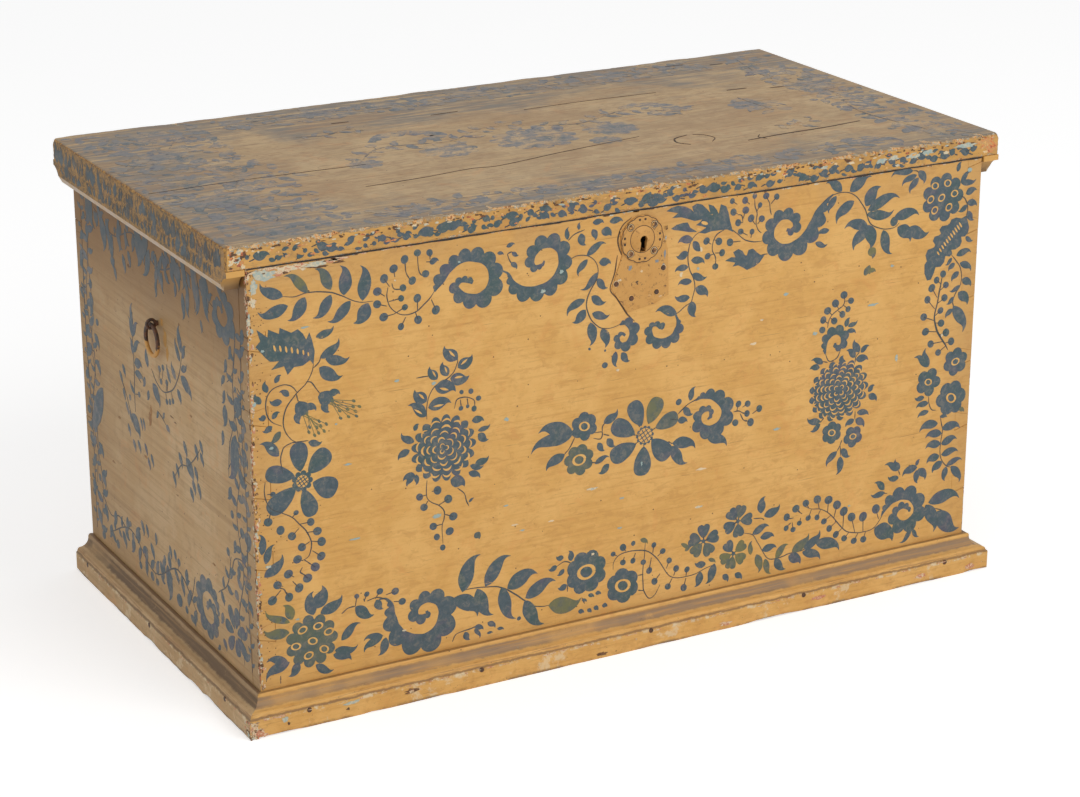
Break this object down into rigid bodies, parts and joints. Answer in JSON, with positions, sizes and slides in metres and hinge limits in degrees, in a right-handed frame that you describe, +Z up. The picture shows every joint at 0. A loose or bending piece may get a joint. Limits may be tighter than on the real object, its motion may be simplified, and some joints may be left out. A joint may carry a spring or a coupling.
{
  "type": "blanket chest",
  "caption": "Painted pine blanket chest: dovetailed case on a moulded plinth, hinged lid with end battens, box lock with round escutcheon, and a small iron ring handle at each end.",
  "frame": {"origin": "on the floor, under the middle of the whole chest", "axes": "+Z up, the front looks along -Y, +X to the right seen from the front"},
  "size_m": [1.0604, 0.5904, 0.588],
  "materials": {
    "painted_pine": "old ochre paint with slate-blue folk leaves and flowers, crazed and worn",
    "bare_pine": "unpainted, aged and dusty",
    "painted_iron": "sheet iron painted over in ochre, chipped",
    "wrought_iron": "dark, hand-forged, slightly rusty"
  },
  "bodies": {
    "case": {"front_board": "painted_pine", "back_board": "painted_pine", "left_end_board": "painted_pine", "right_end_board": "painted_pine", "bottom_board_front": "bare_pine", "bottom_board_middle": "bare_pine", "bottom_board_rear": "bare_pine", "rear_bearer": "bare_pine", "plinth_front": "painted_pine", "plinth_left": "painted_pine", "plinth_right": "painted_pine", "lock_shield_plate": "painted_iron", "keyhole_escutcheon": "painted_iron", "lock_plate": "wrought_iron", "lock_case": "wrought_iron", "hinge_leaf_left": "wrought_iron", "hinge_leaf_right": "wrought_iron", "hinge_pin_left": "wrought_iron", "hinge_pin_right": "wrought_iron", "handle_eye_left": "wrought_iron", "handle_eye_right": "wrought_iron", "plinth_front_nails": "wrought_iron", "plinth_left_nails": "wrought_iron", "plinth_right_nails": "wrought_iron", "bottom_nails_front": "wrought_iron", "bottom_nails_left": "wrought_iron", "bottom_nails_right": "wrought_iron", "escutcheon_nails": "wrought_iron", "shield_nails": "wrought_iron", "lock_nails": "wrought_iron", "hinge_leaf_nails": "wrought_iron"},
    "lid": {"lid_board_front": "painted_pine", "lid_board_rear": "painted_pine", "lid_batten_left": "painted_pine", "lid_batten_right": "painted_pine", "hinge_strap_left": "wrought_iron", "hinge_strap_right": "wrought_iron", "lock_link_plate": "wrought_iron", "batten_left_nails": "wrought_iron", "batten_right_nails": "wrought_iron", "hinge_strap_nails": "wrought_iron", "link_plate_nails": "wrought_iron"},
    "ring_left": {"handle_ring_left": "wrought_iron"},
    "ring_right": {"handle_ring_right": "wrought_iron"},
    "bolt": {"lock_bolt": "wrought_iron"}
  },
  "joints": [
    {"name": "lid_hinge", "type": "hinge", "parent": "case", "child": "lid", "pos_m": [0, 0.2896, 0.55445], "axis": [-1, 0, 0], "range_deg": [0, 105]},
    {"name": "ring_left_swing", "type": "hinge", "parent": "case", "child": "ring_left", "pos_m": [-0.5135, 0.00705, 0.418], "axis": [0, 1, 0], "range_deg": [-6, 165]},
    {"name": "ring_right_swing", "type": "hinge", "parent": "case", "child": "ring_right", "pos_m": [0.5135, 0.00705, 0.418], "axis": [0, -1, 0], "range_deg": [-6, 165]},
    {"name": "bolt_slide", "type": "slide", "parent": "case", "child": "bolt", "axis": [1, 0, 0], "range_m": [0, 0.01]}
  ]
}
